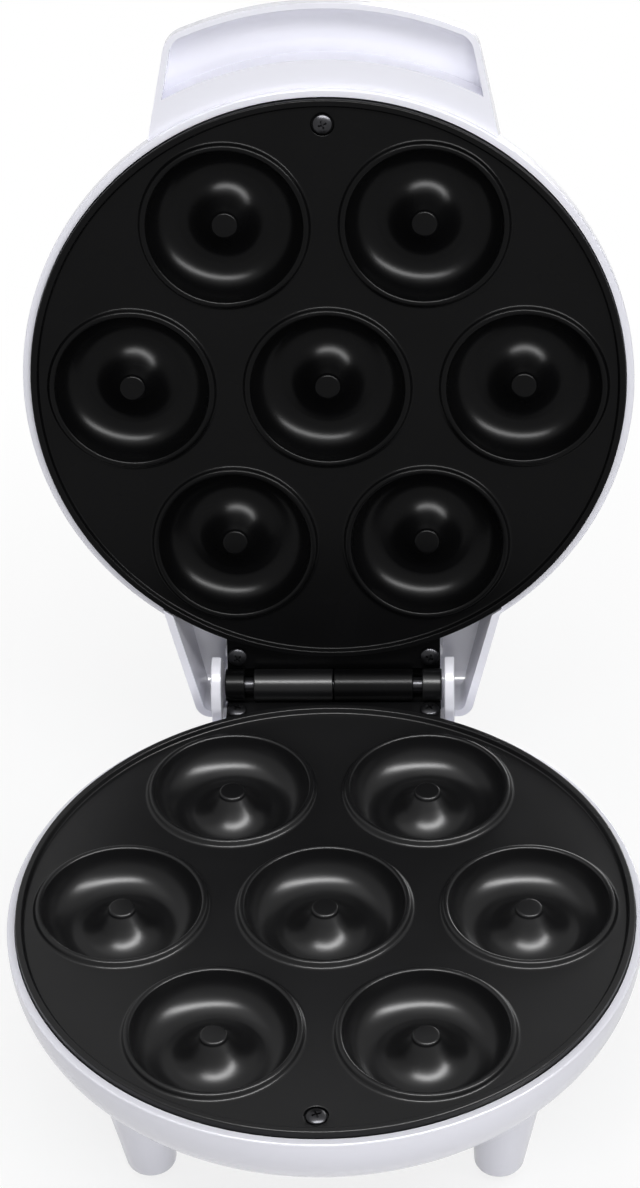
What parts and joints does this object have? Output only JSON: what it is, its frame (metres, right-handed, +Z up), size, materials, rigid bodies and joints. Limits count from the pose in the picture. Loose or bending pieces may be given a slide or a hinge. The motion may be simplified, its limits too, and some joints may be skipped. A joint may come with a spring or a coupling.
{
  "type": "donut maker",
  "caption": "Round electric ring cake maker, shown open: white bowl on legs, hinged lid with scooped handle, and black non-stick plates with ring cavities.",
  "frame": {"origin": "on the surface it stands on, in the middle of its outline from above, with the lid open", "axes": "+X to the right as seen from the handle side, across the shortest extent; +Y towards the hinge at the rear; +Z up"},
  "size_m": [0.196, 0.278, 0.2849],
  "materials": {
    "white_housing": "glossy white moulding with a faint lavender cast",
    "non_stick_plate": "black non-stick coating on a die casting",
    "foot_rubber": "matt grey rubber",
    "dark_steel": "blackened steel",
    "ceramic": "unglazed cream ceramic",
    "lead_sleeve": "white woven glass sleeve",
    "red_lens": "clear red moulding",
    "green_lens": "clear green moulding",
    "lamp_glass": "clear glass",
    "bright_steel": "plain rolled steel"
  },
  "bodies": {
    "base": {"base_shell": "white_housing", "foot_front_left": "foot_rubber", "foot_front_right": "foot_rubber", "foot_rear_left": "foot_rubber", "foot_rear_right": "foot_rubber", "lower_plate": "non_stick_plate", "lower_screw_front": "dark_steel", "lower_screw_left": "dark_steel", "lower_screw_right": "dark_steel", "lower_heater": "bright_steel", "lower_heater_clamp": "bright_steel", "lower_clamp_screw": "bright_steel", "thermal_fuse": "ceramic", "fuse_clip": "bright_steel", "terminal_block": "ceramic", "base_lead_supply": "lead_sleeve", "base_lead_heater": "lead_sleeve", "base_lead_fuse": "lead_sleeve", "hinge_pin": "dark_steel"},
    "lid": {"upper_plate": "non_stick_plate", "upper_screw_front": "dark_steel", "upper_screw_left": "dark_steel", "upper_screw_right": "dark_steel", "upper_heater": "bright_steel", "upper_heater_clamp": "bright_steel", "upper_clamp_screw": "bright_steel", "thermostat": "ceramic", "lid_lead_heater_a": "lead_sleeve", "lid_lead_heater_b": "lead_sleeve", "lid_lead_lamp_a": "lead_sleeve", "lid_lead_lamp_b": "lead_sleeve", "lid_shell": "white_housing", "power_lens": "red_lens", "power_lamp": "lamp_glass", "ready_lens": "green_lens", "ready_lamp": "lamp_glass"}
  },
  "joints": [
    {"name": "lid_hinge", "type": "hinge", "parent": "base", "child": "lid", "pos_m": [0, 0.06433, 0.06175], "axis": [-1, 0, 0], "range_deg": [-102.84, 0]}
  ]
}
